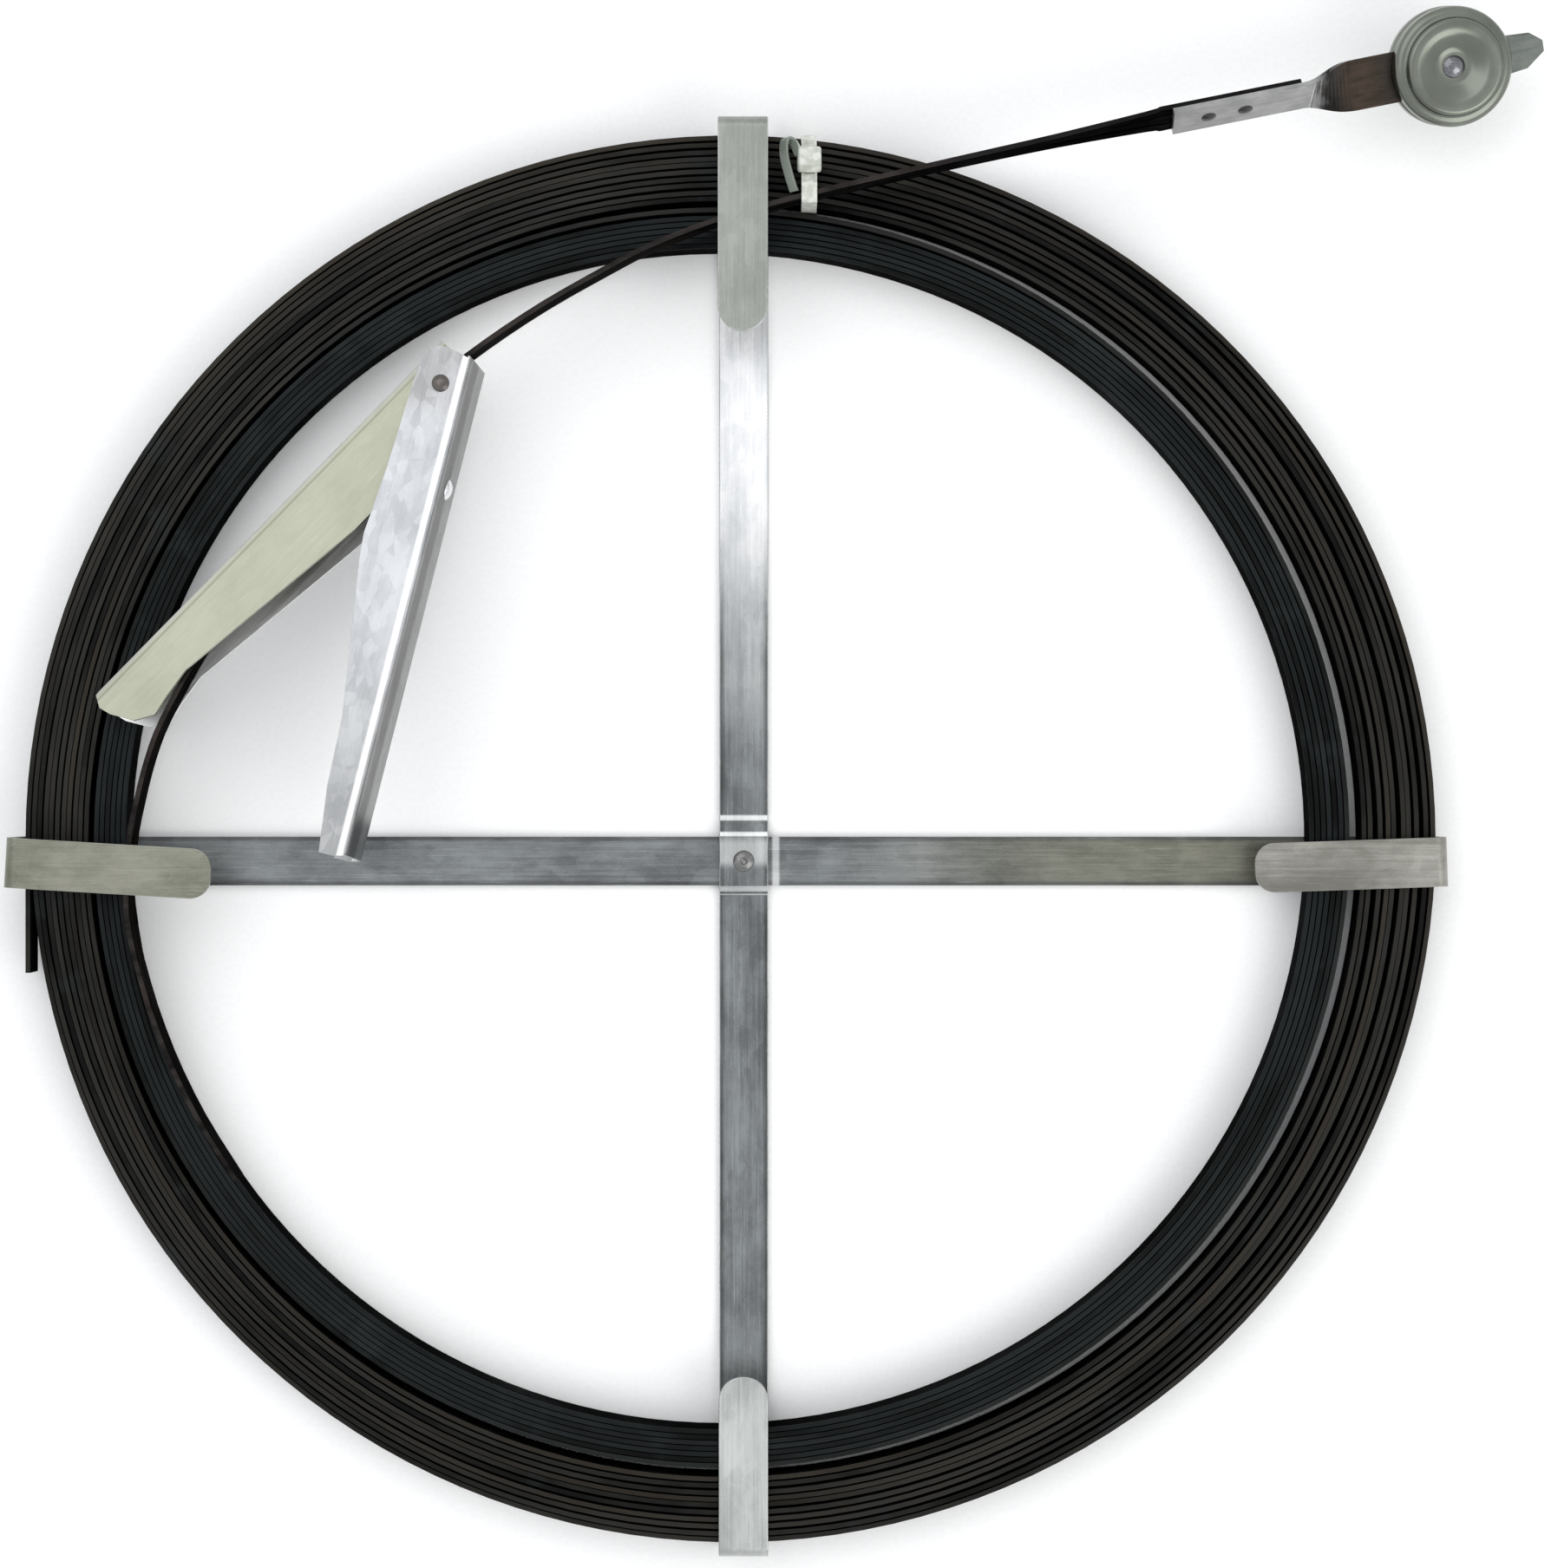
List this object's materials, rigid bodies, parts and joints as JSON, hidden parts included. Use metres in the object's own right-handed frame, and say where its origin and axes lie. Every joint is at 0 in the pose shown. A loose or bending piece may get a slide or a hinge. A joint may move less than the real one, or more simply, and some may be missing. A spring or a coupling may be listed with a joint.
{
  "type": "flat drain tape with roller head",
  "caption": "Flat spring-steel drain tape coiled on a strap-steel cross with hooked ends, with a two-lever clamp handle on the tape and a roller on a twisted tongue.",
  "frame": {"origin": "centre of the cross, on the back faces of the straps, which is the plane that the object lies on", "axes": "+Z out of the front, towards the tabs and the handle; +Y towards the hook that the tape crosses under; +X to the right of that, seen from the front"},
  "size_m": [0.4936, 0.5008, 0.0507],
  "materials": {
    "zinc_strap": "galvanised flat steel, satin with a fine rolled grain",
    "rivet_steel": "bright zinc-plated rivet steel",
    "spring_steel": "oil-tempered blue-black spring steel, satin, with a brown tint on the edges",
    "nylon": "natural translucent nylon",
    "zinc_sheet": "zinc-plated sheet steel, soft spangle and fine scratches",
    "tongue_steel": "steel strip, grey at the rivets and heat-tinted brown at the blade",
    "zinc_cup": "turned satin zinc with a grey-green cast",
    "sleeve_steel": "plain turned steel, oiled"
  },
  "bodies": {
    "frame": {"cross_strap_vertical": "zinc_strap", "cross_strap_horizontal": "zinc_strap", "centre_rivet": "rivet_steel", "tape_coil": "spring_steel", "tape_lead": "spring_steel", "cable_tie": "nylon", "roller_tongue": "tongue_steel", "tongue_rivet_inner": "rivet_steel", "tongue_rivet_outer": "rivet_steel"},
    "handle": {"clamp_channel": "zinc_sheet", "pivot_rivet": "rivet_steel"},
    "lever": {"clamp_lever": "zinc_sheet", "clamp_shoe": "zinc_sheet", "shoe_rivet": "rivet_steel"},
    "roller": {"roller_cup_front": "zinc_cup", "roller_cup_back": "zinc_cup", "roller_sleeve": "sleeve_steel", "roller_rivet": "rivet_steel"}
  },
  "joints": [
    {"name": "handle_travel", "type": "hinge", "parent": "frame", "child": "handle", "pos_m": [0.108, -0.1007, 0.0264], "axis": [0, 0, -1], "range_deg": [0, 7.5]},
    {"name": "lever_squeeze", "type": "hinge", "parent": "handle", "child": "lever", "pos_m": [-0.0949, 0.1516, 0.0264], "axis": [0.1118, -0.1095, -0.9877], "range_deg": [0, 20]},
    {"name": "roller_spin", "type": "hinge", "parent": "frame", "child": "roller", "pos_m": [0.22655, 0.25561, 0.0274], "axis": [0.0441, -0.2206, 0.9744], "continuous": true}
  ]
}
